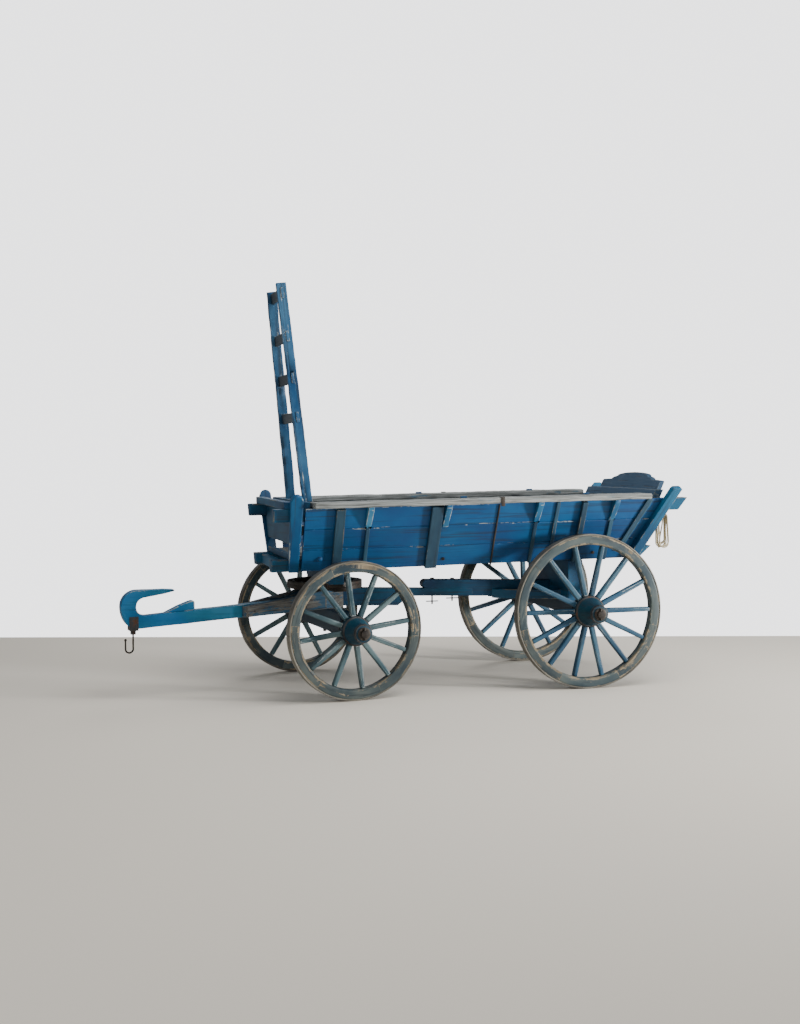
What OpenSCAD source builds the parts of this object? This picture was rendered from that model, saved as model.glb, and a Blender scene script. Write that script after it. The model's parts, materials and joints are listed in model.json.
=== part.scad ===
// Four-wheeled farm wagon with a short hooked pole, flared plank body,
// removable tailboard and a hay ladder standing in the front of the body.
// Millimetres. +X points to the rear, -Y is the wagon's left side, +Z is up.

/* [Wheels] */
// Radius of a front wheel, over the tyre
front_wheel_r = 474; // [395:1:500]
// Radius of a rear wheel, over the tyre
rear_wheel_r = 550; // [455:1:570]
// Distance between the left and right rims, centre to centre
track = 1280; // [1240:1:1540]
// Width of a rim across the tread
rim_w = 70; // [50:1:84]
// Thickness of the iron tyre
tyre_t = 12; // [8:1:16]
// Depth of the wooden felloes
felloe_h = 64; // [48:1:78]
// Spokes in a front wheel
front_spokes = 12; // [8:2:14]
// Spokes in a rear wheel
rear_spokes = 14; // [8:2:16]
// Width of a spoke at the nave
spoke_w = 38; // [28:1:44]
// Lateral thickness of a spoke
spoke_t = 44; // [30:1:56]
// Largest radius of a front nave
front_nave_r = 100; // [90:1:115]
// Largest radius of a rear nave
rear_nave_r = 110; // [98:1:125]
// Length of a nave inboard of the rim's middle
nave_in = 120; // [90:1:130]
// Length of a front nave outboard of the rim's middle
front_nave_out = 182; // [150:1:200]
// Length of a rear nave outboard of the rim's middle
rear_nave_out = 206; // [165:1:225]
// Radius of the round iron axle arm inside the nave
arm_r = 25; // [20:0.5:30]

/* [Undercarriage] */
// Distance from front axle to rear axle
wheelbase = 1778; // [1480:1:2140]
// Angle that the front carriage is turned at rest
steer_rest = 6.6; // [-15:0.1:15]
// Width of the axle beds, bolsters and turntable planks
bed_w = 110; // [96:1:130]
// Height of the axle bed below the axle's middle
bed_below = 50; // [40:1:55]
// Height of the front axle bed above the axle's middle
front_bed_above = 101; // [60:1:120]
// Height of the rear axle bed above the axle's middle
rear_bed_above = 45; // [36:1:60]
// Side of the square iron bar let into each axle bed
axle_bar = 48; // [44:1:56]
// Width of the reach pole
reach_w = 90; // [75:1:108]
// Height of the front reach where it runs under the lap
reach_thin = 55; // [45:1:70]
// Height of the lap of the rear reach above the front reach
reach_lap = 65; // [50:1:75]
// Height of the front reach at the kingpin
reach_head = 125; // [90:1:130]
// Distance from the kingpin to the front end of the lap
lap_x = 726; // [690:1:800]
// Length of the lap
lap_len = 384; // [340:1:460]
// Radius of the turntable plates
ring_r = 270; // [220:1:300]
// Width of the turntable ring
ring_w = 55; // [40:1:70]
// Thickness of each turntable plate
ring_t = 26; // [16:1:30]
// Height of the front bolster above the turntable
bolster_h = 101; // [80:1:130]
// Diameter of the kingpin
kingpin_d = 24; // [18:1:26]

/* [Pole] */
// Distance from the kingpin to the front of the pole's bend
pole_len = 1464; // [1220:1:1760]
// Width of the pole
pole_w = 80; // [60:1:90]
// Height of the pole's shaft
pole_h = 88; // [74:1:96]
// Slope of the pole, nose down
pole_slope = 3.6; // [0:0.1:5]
// Inner radius of the bend at the pole's end
bend_r = 62; // [45:1:80]
// Length of the pointed arm above the bend
pole_arm = 200; // [150:1:240]
// Thickness of the draft hook's iron
hook_d = 12; // [8:1:16]

/* [Body] */
// Slope of the body, rising to the rear
box_pitch = 1; // [0:0.1:1.5]
// Half width of the body over its side boards, at the bottom
box_half = 410; // [350:1:425]
// Flare of the sides from the vertical
flare = 27; // [18:0.5:30]
// Height of the side boards, measured straight up
side_h = 441; // [380:1:520]
// Thickness of the side boards
board_t = 28; // [20:1:32]
// Boards in each side
side_rows = 3; // [2:1:4]
// Distance from the kingpin forward to the front edge of the corner posts
box_front = 338; // [300:1:360]
// Distance from the kingpin to the foot of the rear stiles
box_rear = 2155; // [2060:1:2400]
// Rake of the rear stiles and tailboard from the vertical
rake = 25; // [15:0.5:30]
// Height of the lower beams
sill_h = 86; // [70:1:100]
// Thickness of the floor boards
floor_t = 25; // [18:1:32]
// Height of the upper beams
rail_h = 90; // [70:1:100]
// Thickness of the top planks
plank_t = 40; // [28:1:48]
// Overhang of the top planks beyond the side boards
plank_over = 68; // [40:1:80]
// Thickness of the ribs on the side boards
rib_t = 30; // [20:1:32]
// Thickness of the tailboard
tail_t = 32; // [24:1:40]
// Height of the tailboard's crest above the top of the sides
tail_rise = 178; // [120:1:220]

/* [Ladder] */
// Lean of the ladder towards the front, against the body
ladder_lean = 4.9; // [2:0.1:7]
// Length of the ladder, up from the floor boards
ladder_len = 1895; // [1700:1:2280]
// Half spacing of the ladder's stiles at the foot
ladder_half = 347; // [290:1:350]
// Inward lean of each stile
ladder_taper = 4.6; // [2:0.1:5]
// Depth of a stile along the wagon
stile_d = 68; // [56:1:82]
// Thickness of a stile across the wagon
stile_t = 40; // [30:1:46]
// Height of a flat rung
rung_h = 72; // [50:1:88]

/* [Fits] */
// Radial running clearance of a shaft in its bore
run_gap = 0.05; // [0.02:0.01:0.1]
// Gap between flat or curved faces of pieces that move past each other
slide_gap = 0.3; // [0.3:0.1:0.6]
// Gap that a sliding board has in its guides
guide_gap = 2; // [1:0.5:3]

/* [Hidden] */
$fn = 48;

BLUE = [0.10, 0.30, 0.48];
DARK_BLUE = [0.08, 0.22, 0.33];
WORN_BLUE = [0.35, 0.45, 0.46];
GREY_WOOD = [0.62, 0.61, 0.56];
IRON = [0.28, 0.24, 0.21];
ROPE = [0.78, 0.72, 0.58];

LEFT = -1;
RIGHT = 1;

// Spoke positions at rest, as turns of each wheel
left_front_phase = 7.7;
right_front_phase = 2.8;
left_rear_phase = 0;
right_rear_phase = 10.4;

// Wheels and naves
nave_end_r = 72;
nave_nose_r = 60;
band_t = 5;
arm_end = 24;
washer_t = 8;
washer_r = 44;
linchpin_d = 10;
linchpin_len = 84;
collar_t = 10;
collar_r = 38;
bed_half = track / 2 - nave_in - collar_t - 1;
bed_chamfer = 12;

// Heights of the front stack at the kingpin
front_bed_top = front_wheel_r + front_bed_above;
plate_gap = 6;
futchell_top = front_bed_top + reach_head + 2 * plate_gap;
plate_seam = futchell_top + ring_t;
bolster_z = plate_seam + slide_gap + ring_t;
box_z = bolster_z + bolster_h;
reach_top = futchell_top - plate_gap;
rear_bed_top = rear_wheel_r + rear_bed_above;
reach_slope = atan((reach_top - reach_thin - rear_bed_top) / wheelbase);
bolster_half = box_half - 6;
kingpin_head = 14;
kingpin_tail = 34;
head_nose = 60;

// Fore-carriage arms and pole
arm_half = 135;
arm_w = 60;
arm_back = 75;
arm_join = 600;
arm_front = 622;
pole_back = 150;
shaft_z = front_bed_top - 12;
bend_x = pole_len - 164;
bend_wall = 102;
cleat_len = 216;
cleat_h = 66;
cleat_back = 956;
hook_x = pole_len - 86;
hook_pin_d = 10;
hook_eye_r = 15;
hook_eye_t = 15;
hook_len = 112;
hook_bend_r = 26;
hook_rise = 62;
bolt_d = 12;
bolt_play = 0.4;

// Body
tf = tan(flare);
board_drop = board_t / cos(flare);
panel_len = side_h / cos(flare);
post_w = 68;
post_top = 92;
left_gap = 20;
right_gap = 50;
stile_w = 79;
stile_thick = 45;
stile_extra = 100;
stile_slope = tan(rake) * cos(flare);
rail_z = side_h - rail_h;
rail_in = box_half + rail_z * tf - board_drop - 53;
sill_in = box_half - board_drop - 80;
sill_nose = 114;
sill_tail = 145;
rail_nose = 122;
rail_tail = 169;
tail_slant = 50;
floor_z = sill_h + floor_t;
floor_rows = 5;
tail_rebate = 2;
seat = 0.01;
plank_front = 200;
plank_rear = box_rear + 95;
plank_in = rail_in;
sill_bar = 40;
slot_h = 66;
top_bar_h = 48;
top_bar_w = 60;
tail_u = box_rear + 17;
tail_bar_h = 60;
tail_bar_w = 62;
tail_end_gap = 5;
guide_t = 26;
guide_w = 30;
ladder_u = 146.5;
rest_bar_w = 52;
ladder_room = 32;
strap_t = 6;
strap_h = 28;
rope_half = 55;
rope_drop = 250;
rope_y = rail_in + 34;
rope_x = box_rear + 252;

// Middle of the whole wagon, counted from the kingpin
front_end = pole_len * cos(steer_rest);
rear_end = box_rear + rail_tail + tail_slant + stile_slope * panel_len;
shift_x = (front_end - rear_end) / 2;

// ---- helpers ---------------------------------------------------------------

// A profile of X and Z extruded across the wagon, centred on Y
module across(width) {
  rotate([90, 0, 0]) linear_extrude(width, center = true) children();
}

// A profile of Y and Z extruded along X from x0 to x1
module along(x0, x1) {
  translate([x0, 0, 0]) rotate([90, 0, 90]) linear_extrude(x1 - x0) children();
}

module both_sides() {
  children();
  mirror([0, 1, 0]) children();
}

// The wagon's frame, with the kingpin on X = 0
module wagon() { translate([shift_x, 0, 0]) children(); }

// The fore-carriage, turned about the kingpin
module steered() { wagon() rotate([0, 0, steer_rest]) children(); }

// The body, pitched about the front bolster
module body_frame() { wagon() translate([0, 0, box_z]) rotate([0, -box_pitch, 0]) children(); }

// A side panel's own frame: X along, Y up the slope, Z into the body
module panel(side) {
  mirror([0, side < 0 ? 1 : 0, 0]) translate([0, box_half, 0]) rotate([90 - flare, 0, 0]) children();
}

// Half width between the side boards at height z of the body
function inside_y(z) = box_half + z * tf - board_drop;

function arc(r, a0, a1, n, ry = 0) =
  [for (i = [0:n]) let (a = a0 + (a1 - a0) * i / n) [r * cos(a), (ry > 0 ? ry : r) * sin(a)]];
function moved(points, dx, dy) = [for (p = points) [p[0] + dx, p[1] + dy]];

// ---- wheels ----------------------------------------------------------------

// A wheel's frame: Z is the axle, pointing out of the wagon
module wheel_at(x, side, r) {
  translate([x, side * track / 2, r]) rotate([-side * 90, 0, 0]) children();
}
module front_wheel(side) { steered() wheel_at(0, side, front_wheel_r) children(); }
module rear_wheel(side) { wagon() wheel_at(wheelbase, side, rear_wheel_r) children(); }

// Points of a nave's outline, as radius and place along the axle
function nave_line(r, nose) = [
  [nave_end_r, -nave_in], [nave_end_r + 6, -nave_in + 30], [r - 10, -spoke_t / 2 - 24], [r, -spoke_t / 2 - 8],
  [r, spoke_t / 2 + 8], [r - 12, spoke_t / 2 + 26], [nave_nose_r + 6, nose - 66], [nave_nose_r, nose - 30],
  [nave_nose_r - 4, nose]
];

module nave(r, nose) {
  color(DARK_BLUE) rotate_extrude($fn = 96)
    polygon(concat([[arm_r + run_gap, -nave_in]], nave_line(r, nose), [[arm_r + run_gap, nose]]));
}

// One iron hoop that follows the nave's outline between two of its places
module hoop(outline, a0, a1) {
  function at(a) = lookup(a, [for (p = outline) [p[1], p[0]]]);
  rotate_extrude($fn = 96)
    polygon([[at(a0), a0], [at(a0) + band_t, a0], [at(a1) + band_t, a1], [at(a1), a1]]);
}

module nave_bands(r, nose) {
  outline = nave_line(r, nose);
  color(IRON) {
    hoop(outline, -nave_in, -nave_in + 24);
    hoop(outline, -spoke_t / 2 - 24, -spoke_t / 2 - 12);
    hoop(outline, spoke_t / 2 + 12, spoke_t / 2 + 24);
    hoop(outline, nose - 28, nose);
  }
}

// Spokes taper towards the felloes and end on both curved faces
module spokes(count, r, wheel_r, phase) {
  tip_r = wheel_r - tyre_t - felloe_h;
  color(WORN_BLUE) for (i = [0:count - 1]) rotate([0, 0, phase + i * 360 / count])
    intersection() {
      translate([0, 0, -spoke_t / 2]) linear_extrude(spoke_t)
        polygon([[r - 12, -spoke_w / 2], [tip_r + 10, -spoke_w * 0.39],
          [tip_r + 10, spoke_w * 0.39], [r - 12, spoke_w / 2]]);
      translate([0, 0, -spoke_t]) difference() {
        cylinder(r = tip_r, h = 2 * spoke_t, $fn = 96);
        translate([0, 0, -1]) cylinder(r = r, h = 2 * spoke_t + 2, $fn = 96);
      }
    }
}

// One felloe for every two spokes, with a saw kerf between neighbours
module felloes(count, wheel_r, phase) {
  outer = wheel_r - tyre_t;
  step = 720 / count;
  kerf = 0.25;
  color(WORN_BLUE) for (i = [0:count / 2 - 1]) rotate([0, 0, phase - step / 4 + i * step + kerf])
    rotate_extrude(angle = step - 2 * kerf, $fn = 96)
      polygon([[outer - felloe_h, -rim_w / 2 + 7], [outer - felloe_h + 7, -rim_w / 2], [outer, -rim_w / 2],
        [outer, rim_w / 2], [outer - felloe_h + 7, rim_w / 2], [outer - felloe_h, rim_w / 2 - 7]]);
}

module tyre(wheel_r) {
  color(IRON) rotate_extrude($fn = 128) translate([wheel_r - tyre_t, -rim_w / 2]) square([tyre_t, rim_w]);
}

module left_front_nave() { front_wheel(LEFT) nave(front_nave_r, front_nave_out); }
module left_front_bands() { front_wheel(LEFT) nave_bands(front_nave_r, front_nave_out); }
module left_front_spokes() { front_wheel(LEFT) spokes(front_spokes, front_nave_r, front_wheel_r, left_front_phase); }
module left_front_felloes() { front_wheel(LEFT) felloes(front_spokes, front_wheel_r, left_front_phase); }
module left_front_tyre() { front_wheel(LEFT) tyre(front_wheel_r); }
module right_front_nave() { front_wheel(RIGHT) nave(front_nave_r, front_nave_out); }
module right_front_bands() { front_wheel(RIGHT) nave_bands(front_nave_r, front_nave_out); }
module right_front_spokes() { front_wheel(RIGHT) spokes(front_spokes, front_nave_r, front_wheel_r, right_front_phase); }
module right_front_felloes() { front_wheel(RIGHT) felloes(front_spokes, front_wheel_r, right_front_phase); }
module right_front_tyre() { front_wheel(RIGHT) tyre(front_wheel_r); }
module left_rear_nave() { rear_wheel(LEFT) nave(rear_nave_r, rear_nave_out); }
module left_rear_bands() { rear_wheel(LEFT) nave_bands(rear_nave_r, rear_nave_out); }
module left_rear_spokes() { rear_wheel(LEFT) spokes(rear_spokes, rear_nave_r, rear_wheel_r, left_rear_phase); }
module left_rear_felloes() { rear_wheel(LEFT) felloes(rear_spokes, rear_wheel_r, left_rear_phase); }
module left_rear_tyre() { rear_wheel(LEFT) tyre(rear_wheel_r); }
module right_rear_nave() { rear_wheel(RIGHT) nave(rear_nave_r, rear_nave_out); }
module right_rear_bands() { rear_wheel(RIGHT) nave_bands(rear_nave_r, rear_nave_out); }
module right_rear_spokes() { rear_wheel(RIGHT) spokes(rear_spokes, rear_nave_r, rear_wheel_r, right_rear_phase); }
module right_rear_felloes() { rear_wheel(RIGHT) felloes(rear_spokes, rear_wheel_r, right_rear_phase); }
module right_rear_tyre() { rear_wheel(RIGHT) tyre(rear_wheel_r); }

// ---- axles -----------------------------------------------------------------

// A wooden bed with chamfered upper edges and a groove under it for the bar
module axle_bed(r, above) {
  color(DARK_BLUE) difference() {
    rotate([90, 0, 0]) linear_extrude(2 * bed_half, center = true)
      polygon([[-bed_w / 2, r - bed_below], [bed_w / 2, r - bed_below], [bed_w / 2, r + above],
        [-bed_w / 2, r + above]]);
    translate([-axle_bar / 2, -bed_half - 1, r - bed_below - 1])
      cube([axle_bar, 2 * bed_half + 2, bed_below + axle_bar / 2 + 1]);
    both_sides() for (s = [-1, 1]) translate([s * bed_w / 2, bed_half, r - bed_below])
      rotate([0, 0, 45]) translate([-bed_chamfer, -bed_chamfer, -1])
        cube([2 * bed_chamfer, 2 * bed_chamfer, bed_below + above + 2]);
  }
}

module pin_hole() { translate([0, 0, -1]) cylinder(d = kingpin_d + 2 * run_gap, h = 2 * box_z); }

// The square bar, its collars and the round arms that carry the wheels
module axle_iron(r, nose) {
  arm_out = track / 2 + nose + arm_end;
  color(IRON) difference() {
    union() {
      translate([-axle_bar / 2, -bed_half, r - axle_bar / 2]) cube([axle_bar, 2 * bed_half, axle_bar]);
      both_sides() translate([0, bed_half, r]) rotate([-90, 0, 0]) {
        cylinder(r = collar_r, h = collar_t, $fn = 96);
        cylinder(r = arm_r, h = arm_out - bed_half, $fn = 96);
      }
    }
    both_sides() translate([0, track / 2 + nose + slide_gap + washer_t + linchpin_d / 2, r - 2 * arm_r])
      cylinder(d = linchpin_d, h = 4 * arm_r);
  }
}

// The washer and the upright pin that keep each wheel on its arm
module linchpins(r, nose) {
  color(IRON) both_sides() {
    translate([0, track / 2 + nose + slide_gap, r]) rotate([-90, 0, 0]) difference() {
      cylinder(r = washer_r, h = washer_t, $fn = 96);
      translate([0, 0, -1]) cylinder(r = arm_r, h = washer_t + 2, $fn = 96);
    }
    translate([0, track / 2 + nose + slide_gap + washer_t + linchpin_d / 2, r - linchpin_len / 2])
      cylinder(d = linchpin_d, h = linchpin_len);
  }
}

module front_axle_bed() { steered() difference() { axle_bed(front_wheel_r, front_bed_above); pin_hole(); } }
module front_axle_iron() { steered() difference() { axle_iron(front_wheel_r, front_nave_out); pin_hole(); } }
module front_linchpins() { steered() linchpins(front_wheel_r, front_nave_out); }
module rear_axle_bed() { wagon() translate([wheelbase, 0, 0]) axle_bed(rear_wheel_r, rear_bed_above); }
module rear_axle_iron() { wagon() translate([wheelbase, 0, 0]) axle_iron(rear_wheel_r, rear_nave_out); }
module rear_linchpins() { wagon() translate([wheelbase, 0, 0]) linchpins(rear_wheel_r, rear_nave_out); }

// ---- fore-carriage ---------------------------------------------------------

// Lower edge of the pole at distance x behind the kingpin
function pole_z(x) = shaft_z + x * tan(pole_slope);

module futchell_plan(side) {
  scale([1, side]) polygon([[-arm_front, pole_w / 2], [-arm_join, pole_w / 2], [-bed_w / 2, arm_half],
    [arm_back, arm_half], [arm_back, arm_half + arm_w], [-bed_w / 2, arm_half + arm_w],
    [-arm_join, pole_w / 2 + arm_w], [-arm_front, pole_w / 2 + arm_w - 20]]);
}

module futchell_bolt_holes(d) {
  for (x = [-arm_join + 50, -pole_back - 50]) translate([x, 0, pole_z(x) + pole_h / 2])
    rotate([90, 0, 0]) cylinder(d = d, h = 2 * (arm_half + arm_w) + 30, center = true);
}

// The two arms rest on the axle bed, clasp the pole and carry the turntable
module futchells() {
  color(DARK_BLUE) steered() for (side = [LEFT, RIGHT]) difference() {
    intersection() {
      linear_extrude(box_z) futchell_plan(side);
      across(2 * (arm_half + arm_w) + 10) polygon([[-arm_front, pole_z(-arm_front) + 6],
        [-bed_w / 2, front_bed_top], [arm_back, front_bed_top], [arm_back, futchell_top],
        [-bed_w / 2, futchell_top], [-2.2 * bed_w, futchell_top - 44], [-arm_front, pole_z(-arm_front) + 76]]);
    }
    futchell_bolt_holes(bolt_d);
  }
}

// A ring with one broad plank across it, used above and below
module turntable_plate(z) {
  translate([0, 0, z]) difference() {
    union() {
      difference() {
        cylinder(r = ring_r, h = ring_t, $fn = 96);
        translate([0, 0, -1]) cylinder(r = ring_r - ring_w, h = ring_t + 2, $fn = 96);
      }
      translate([-bed_w / 2, -bolster_half + 30, 0]) cube([bed_w, 2 * bolster_half - 60, ring_t]);
    }
    pin_hole();
  }
}

module turntable_lower() { color(IRON) steered() turntable_plate(futchell_top); }
module turntable_upper() { color(IRON) wagon() turntable_plate(plate_seam + slide_gap); }

// Side outline of the pole: shaft, bend and pointed arm
module pole_outline() {
  base = pole_z(-bend_x);
  cz = base + pole_h + bend_r;
  ci = [-bend_x, cz];
  co = [-bend_x - 54, cz + 2];
  outer_r = bend_r + bend_wall - 54;
  lower_ry = co[1] - base + 4;
  tip = [-bend_x + pole_arm, cz + bend_r + 45];
  polygon(concat(
    [[-pole_back, pole_z(-pole_back)]],
    [[-pole_back, pole_z(-pole_back) + pole_h]],
    [[-bend_x + 10, pole_z(-bend_x + 10) + pole_h]],
    moved(arc(bend_r, 270, 100, 18), ci[0], ci[1]),
    [[tip[0] - 70, tip[1] - 24], [tip[0], tip[1] - 9], tip, [tip[0] - 60, tip[1] + 4]],
    moved(arc(outer_r, 86, 180, 12), co[0], co[1]),
    moved(arc(outer_r, 180, 262, 10, lower_ry), co[0], co[1])
  ));
}

module pole() {
  color(BLUE) steered() difference() {
    across(pole_w) pole_outline();
    futchell_bolt_holes(bolt_d);
  }
}

// A wedge on the pole that a driver's foot pushes against
module pole_cleat() {
  foot = [-cleat_back, pole_z(-cleat_back) + pole_h];
  nose = [-cleat_back - cleat_len, pole_z(-cleat_back - cleat_len) + pole_h];
  color(BLUE) steered() across(pole_w - 20) polygon([foot, foot + [0, cleat_h - 10], foot + [-4, cleat_h - 3],
    foot + [-18, cleat_h], foot + [-40, cleat_h - 5], foot + [-118, cleat_h - 34], nose]);
}

function hook_z() = pole_z(-hook_x) - 24;

// The strap round the pole's heel, its lug and brace, and the futchell bolts
module pole_ironwork() {
  z0 = pole_z(-hook_x);
  color(IRON) steered() {
    difference() {
      union() {
        translate([-hook_x - 30, -pole_w / 2 - 5, z0 - 8]) cube([60, pole_w + 10, pole_h + 8]);
        both_sides() translate([-hook_x - 16, hook_eye_t / 2 + 1, hook_z() - 12]) cube([32, 10, 32]);
      }
      across(pole_w) pole_outline();
      translate([-hook_x, 0, hook_z()]) rotate([90, 0, 0])
        cylinder(d = hook_pin_d, h = pole_w, center = true);
    }
    translate([-hook_x, 0, hook_z()]) rotate([90, 0, 0])
      cylinder(d = hook_pin_d, h = hook_eye_t + 30, center = true);
    for (x = [-arm_join + 50, -pole_back - 50]) {
      grip = x < -arm_join / 2 ? pole_w / 2 + arm_w + 12 : arm_half + arm_w - 6;
      translate([x, 0, pole_z(x) + pole_h / 2]) rotate([90, 0, 0])
        cylinder(d = bolt_d, h = 2 * grip, center = true);
    }
  }
}

// A J of round iron on an eye, hanging under the pole's heel
module draft_hook() {
  drop = hook_len;
  color(IRON) steered() translate([-hook_x, 0, hook_z()]) rotate([90, 0, 0]) {
    difference() {
      union() {
        translate([0, 0, -hook_eye_t / 2]) cylinder(r = hook_eye_r, h = hook_eye_t);
        translate([0, -hook_eye_r + 4, 0]) rotate([90, 0, 0]) cylinder(d = hook_d, h = drop - hook_eye_r + 4);
      }
      cylinder(d = hook_pin_d + 2 * run_gap, h = 2 * hook_eye_t, center = true);
    }
    translate([-hook_bend_r, -drop, 0]) rotate([0, 0, 180])
      rotate_extrude(angle = 180, $fn = 48) translate([hook_bend_r, 0]) circle(d = hook_d);
    translate([-2 * hook_bend_r, -drop, 0]) rotate([-90, 0, 0]) cylinder(d = hook_d, h = hook_rise);
    translate([-2 * hook_bend_r, -drop + hook_rise, 0]) sphere(r = hook_d * 0.75);
  }
}

// ---- bolsters, kingpin and reach ---------------------------------------------

function box_under(x) = box_z + x * tan(box_pitch);
function reach_z(x) = reach_top - x * tan(reach_slope);

// A block across the wagon whose top follows the body's slope
module bolster_block(x, z) {
  across(2 * bolster_half) polygon([[x - bed_w / 2, z], [x + bed_w / 2, z],
    [x + bed_w / 2, box_under(x + bed_w / 2)], [x - bed_w / 2, box_under(x - bed_w / 2)]]);
}

module front_bolster() { color(BLUE) wagon() difference() { bolster_block(0, bolster_z); pin_hole(); } }
module rear_bolster() {
  color(BLUE) wagon() difference() {
    bolster_block(wheelbase, rear_bed_top);
    reach_rear_solid();
    hounds_solid();
  }
}

module kingpin() {
  bottom = front_wheel_r - bed_below - kingpin_tail;
  color(IRON) wagon() {
    translate([0, 0, bottom]) cylinder(d = kingpin_d, h = box_under(0) - bottom + 2);
    translate([0, 0, box_under(0) + 1]) cylinder(d = 2 * kingpin_d, h = kingpin_head);
    translate([0, 0, bottom + 12]) rotate([90, 0, 0]) cylinder(d = 6, h = 70, center = true);
  }
}

module reach_front_solid() {
  step = lap_x - 100;
  tail = lap_x + lap_len;
  across(reach_w) polygon([[-head_nose, reach_z(-head_nose)], [-head_nose, reach_z(0) - reach_head],
    [step - 90, reach_z(step - 90) - reach_head], [step, reach_z(step) - reach_thin],
    [tail, reach_z(tail) - reach_thin], [tail, reach_z(tail)]]);
}

module reach_rear_solid() {
  tail = lap_x + lap_len;
  back = wheelbase + bed_w / 2 + 40;
  nose_x = lap_x + reach_lap / 2;
  nose = moved(arc(reach_lap / 2, 270, 90, 10), nose_x, reach_z(nose_x) + reach_lap / 2);
  across(reach_w) polygon(concat([[tail, reach_z(tail) - reach_thin], [tail, reach_z(tail)]], nose,
    [[back, reach_z(back) + reach_lap], [back, reach_z(back) - reach_thin]]));
}

// Places of the reach's two bolts behind the start of the lap, and how far each hangs below it
lap_bolts = [[85, 66], [240, 42]];

module reach_bolt_holes() {
  for (bolt = lap_bolts) translate([lap_x + bolt[0], 0, reach_z(lap_x + bolt[0]) - reach_thin - 70])
    cylinder(d = bolt_d + bolt_play, h = reach_thin + reach_lap + 90);
}

module reach_front() { color(BLUE) wagon() difference() { reach_front_solid(); reach_bolt_holes(); pin_hole(); } }
// The rear reach is notched level where it sits on the axle bed
module reach_rear() {
  color(BLUE) wagon() difference() {
    reach_rear_solid();
    reach_bolt_holes();
    translate([wheelbase - bed_w / 2 - 1, -reach_w, rear_bed_top - 20]) cube([bed_w + 2, 2 * reach_w, 20]);
  }
}

// Upright bolts with a flat head above and a turning bar below
module reach_bolts() {
  color(IRON) wagon() for (bolt = lap_bolts) {
    x = lap_x + bolt[0];
    low = reach_z(x) - reach_thin - bolt[1];
    top = reach_z(x) + reach_lap;
    translate([x, 0, low]) cylinder(d = bolt_d, h = top - low + 2);
    translate([x, 0, top + 0.8]) cylinder(d = 2.6 * bolt_d, h = 9);
    translate([x, 0, low + 22]) rotate([0, 90, 0]) cylinder(d = 8, h = 92, center = true);
  }
}

// Two braces that spread from the reach to the rear axle bed
module hounds_solid() {
  x0 = wheelbase - 518;
  x1 = wheelbase + bed_w / 2 + 36;
  both_sides() translate([0, 0, rear_bed_top]) linear_extrude(70)
    polygon([[x0, reach_w / 2], [x0 + 140, reach_w / 2], [x1, 260], [x1, 330]]);
}

module hounds() { color(BLUE) wagon() hounds_solid(); }

// ---- body --------------------------------------------------------------------

// Rear edge of the side boards at distance s up the slope
function rear_edge(s) = box_rear + stile_w + stile_slope * s;

module lower_beams() {
  back = box_rear + sill_tail;
  color(BLUE) body_frame() both_sides() intersection() {
    along(-box_front - sill_nose, back + 90)
      polygon([[sill_in, 0], [inside_y(0), 0], [inside_y(sill_h), sill_h], [sill_in, sill_h]]);
    across(2 * box_half + 400)
      polygon([[-box_front - sill_nose, 0], [back, 0], [back + 80, sill_h], [-box_front - sill_nose, sill_h]]);
  }
}

module upper_beams() {
  back = box_rear + rail_tail + stile_slope * panel_len;
  front = -box_front - rail_nose;
  color(BLUE) body_frame() both_sides() intersection() {
    along(front, back + 60) polygon([[rail_in, rail_z], [inside_y(rail_z), rail_z],
      [inside_y(side_h), side_h], [rail_in, side_h]]);
    across(2 * box_half + 900) polygon([[front, rail_z], [back, rail_z], [back + tail_slant, side_h], [front, side_h]]);
  }
}

// Floor boards with a shallow rebate across their rear end, which the tailboard stands in
module floor_boards() {
  width = 2 * inside_y(sill_h) - 2;
  pitch = width / floor_rows;
  rebate_x = tail_mid(floor_z) - tail_half_u - 6;
  color(GREY_WOOD) body_frame() for (i = [0:floor_rows - 1]) difference() {
    translate([-box_front + 40, -width / 2 + i * pitch + 1, sill_h])
      cube([box_rear + box_front + 54, pitch - 2, floor_t]);
    translate([rebate_x, -width, floor_z - tail_rebate]) cube([200, 2 * width, 2 * tail_rebate]);
  }
}

// Boards laid edge to edge with a hair gap, and a small chamfer along each outer edge
module side_boards(side, gap) {
  row = panel_len / side_rows;
  u0 = -box_front + post_w + gap;
  bevel = 4;
  seam = 0.4;
  back = board_t - seat;
  level = function (i, n) i == side_rows - 1 ? n * tf + seat : 0;
  color(BLUE) body_frame() panel(side) for (i = [0:side_rows - 1]) intersection() {
    along(u0, rear_edge(panel_len) + 10) polygon([[i * row + seam, bevel], [i * row + bevel, 0],
      [(i + 1) * row - bevel, 0], [(i + 1) * row - level(i, bevel), bevel],
      [(i + 1) * row - level(i, board_t), back], [i * row + seam, back]]);
    translate([0, 0, -1]) linear_extrude(board_t + 2)
      polygon([[u0, 0], [rear_edge(0), 0], [rear_edge(panel_len), panel_len], [u0, panel_len]]);
  }
}

module left_side_boards() { side_boards(LEFT, left_gap); }
module right_side_boards() { side_boards(RIGHT, right_gap); }

// Ribs as place along the body, width and thickness; each runs up the outside
ribs = [[-12, 64, rib_t], [190, 26, 14], [668, 84, rib_t], [1412, 26, 14], [1560, 26, 14], [1758, 40, rib_t],
  [1992, 30, 14]];

module side_ribs() {
  lean = box_rear - 118;
  color(BLUE) body_frame() for (side = [LEFT, RIGHT]) panel(side) {
    for (rib = ribs) translate([rib[0] - rib[1] / 2, 2, -rib[2]]) cube([rib[1], panel_len - 4, rib[2]]);
    translate([0, 0, -14]) linear_extrude(14) polygon([[lean + 70 * stile_slope, 70], [lean + 46 + 70 * stile_slope, 70],
      [lean + 46 + panel_len * stile_slope, panel_len - 2], [lean + panel_len * stile_slope, panel_len - 2]]);
  }
}

bracket_x = [190, 742, 1412, 1992];
bracket_w = 40;

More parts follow.
